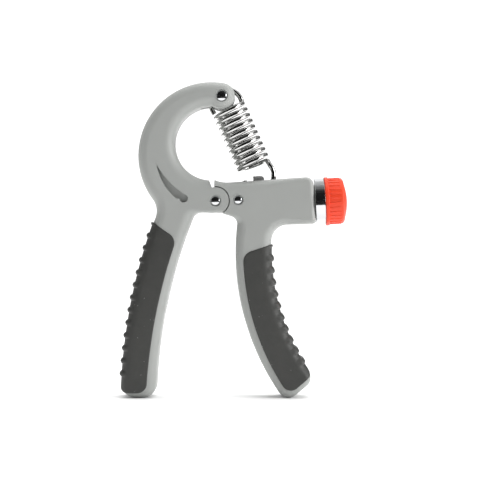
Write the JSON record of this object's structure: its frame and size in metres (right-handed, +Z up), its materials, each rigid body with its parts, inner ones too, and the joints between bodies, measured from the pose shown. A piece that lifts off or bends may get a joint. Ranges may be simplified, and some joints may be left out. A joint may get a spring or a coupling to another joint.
{
  "type": "hand grip strengthener",
  "caption": "Squeeze hand exerciser: two rubber-gripped handles on a rivet pivot, a coil spring across a C-shaped arc, and a screw knob that moves the spring anchor to set the force.",
  "frame": {"origin": "middle of the object's box, on the surface under the two handle tips", "axes": "+Z up from the tips to the arc; +X from the arc handle to the adjusting knob; +Y away from the front face"},
  "size_m": [0.1078, 0.023, 0.1492],
  "materials": {
    "moulding": "satin, fine texture",
    "grip_rubber": "matt, fine grain",
    "knob_plastic": "semi-gloss",
    "chrome": "polished",
    "spring_wire": "bright plated wire",
    "steel": "zinc plated",
    "nylon": "natural nylon"
  },
  "bodies": {
    "housing": {"housing_handle": "moulding", "housing_handle_grip": "grip_rubber", "pivot_bush": "nylon", "anchor_rivet": "chrome", "anchor_rivet_cap": "chrome", "adjuster_channel": "steel", "screw_inner_bush": "nylon", "screw_outer_bush": "nylon", "collar_ring": "chrome", "thrust_washer": "nylon"},
    "arc_lever": {"arc_handle": "moulding", "arc_handle_grip": "grip_rubber", "pivot_rivet": "chrome", "pivot_rivet_cap": "chrome", "pivot_washers": "nylon", "spring_rivet": "chrome", "spring_rivet_cap": "chrome"},
    "knob_and_screw": {"knob": "knob_plastic", "knob_end_cap": "knob_plastic", "knob_screw": "steel", "knob_washer": "steel", "adjuster_screw": "steel", "screw_retaining_ring": "steel"},
    "carriage": {"carriage_nut": "steel"},
    "anchor_pin": {"hook_pin": "steel"},
    "spring_lower": {"spring_hook": "spring_wire"},
    "spring_middle": {"spring_coils": "spring_wire"},
    "spring_upper": {"spring_loop": "spring_wire"}
  },
  "joints": [
    {"name": "handle_squeeze", "type": "hinge", "parent": "housing", "child": "arc_lever", "pos_m": [-0.00865, 0, 0.093], "axis": [0, -1, 0], "range_deg": [0, 30], "stiffness_Nm_per_rad": 9, "springref_deg": -11.46, "deforming": ["spring_hook", "spring_coils", "spring_loop"]},
    {"name": "knob_turn", "type": "hinge", "parent": "housing", "child": "knob_and_screw", "pos_m": [0.04727, 0, 0.09306], "axis": [-0.9986, 0, -0.0523], "range_deg": [-542, 2342]},
    {"name": "carriage_slide", "type": "slide", "parent": "housing", "child": "carriage", "axis": [0.9986, 0, 0.0523], "range_m": [-0.003, 0.013], "deforming": ["spring_hook", "spring_coils", "spring_loop"]},
    {"name": "hook_pin_tilt", "type": "hinge", "parent": "carriage", "child": "anchor_pin", "pos_m": [0.01275, 0, 0.101], "axis": [0, -1, 0], "range_deg": [-0.1, 23.5]},
    {"name": "spring_swing", "type": "hinge", "parent": "anchor_pin", "child": "spring_lower", "pos_m": [0.01275, 0, 0.101], "axis": [0, -1, 0], "range_deg": [-3.31, 14.03]},
    {"name": "spring_stretch", "type": "slide", "parent": "spring_lower", "child": "spring_middle", "axis": [-0.4072, 0, 0.9133], "range_m": [-0.00001, 0.01755]},
    {"name": "spring_preload", "type": "slide", "parent": "spring_middle", "child": "spring_upper", "axis": [-0.4072, 0, 0.9133], "range_m": [-0.00134, 0.00578]}
  ],
  "couplings": [
    {"joint": "knob_turn", "follows": "carriage_slide", "rad_per_m": 3141.6},
    {"joint": "hook_pin_tilt", "follows": "handle_squeeze", "ratio": 0.78},
    {"joint": "spring_swing", "follows": "carriage_slide", "rad_per_m": 18.7},
    {"joint": "spring_stretch", "follows": "handle_squeeze", "m_per_rad": 0.0335},
    {"joint": "spring_preload", "follows": "carriage_slide", "ratio": 0.4435}
  ]
}
